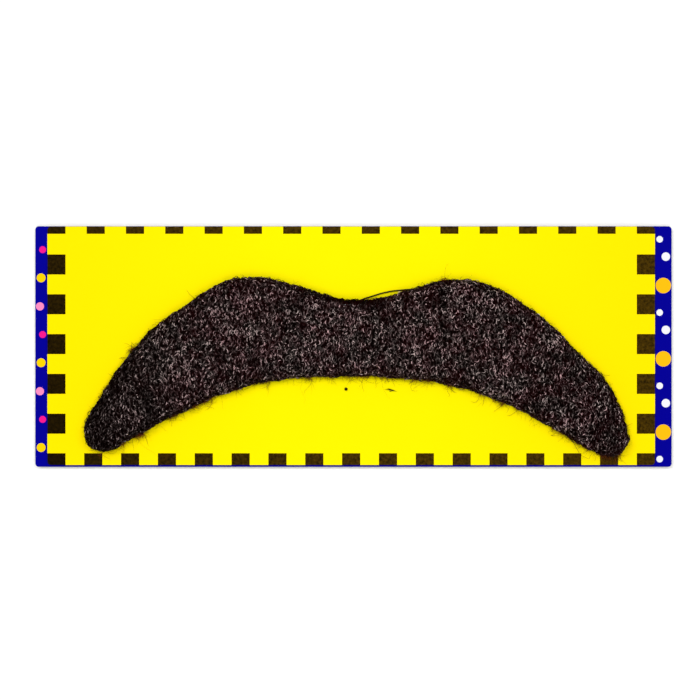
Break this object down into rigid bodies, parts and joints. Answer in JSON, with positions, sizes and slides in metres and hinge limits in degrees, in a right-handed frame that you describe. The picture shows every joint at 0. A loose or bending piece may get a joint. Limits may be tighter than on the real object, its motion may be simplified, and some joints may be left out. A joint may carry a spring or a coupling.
{
  "type": "fake moustache on a display card",
  "caption": "Black stick-on moustache of curly pile fabric, a drooping two-humped crescent, stapled flat to a yellow and blue display card.",
  "frame": {"origin": "under the middle of the back card, at the level of the staple's bent ends, the lowest thing on it", "axes": "+X to the right along the card as seen from the front, +Y up the card to its top edge, +Z off the printed face, through the pile"},
  "size_m": [0.165, 0.0624, 0.0058],
  "materials": {
    "blue_card": "blue printed card with a light varnish and coloured shapes at its two ends",
    "yellow_card": "bright yellow printed card with a light varnish and a border of dark brown squares",
    "black_pile": "black synthetic pile, short, curly and a little shiny, with mauve-grey lights on its tips",
    "staple_wire": "bright galvanized wire"
  },
  "bodies": {
    "root": {"back_card": "blue_card", "front_card": "yellow_card", "moustache": "black_pile", "staple": "staple_wire"}
  },
  "joints": []
}
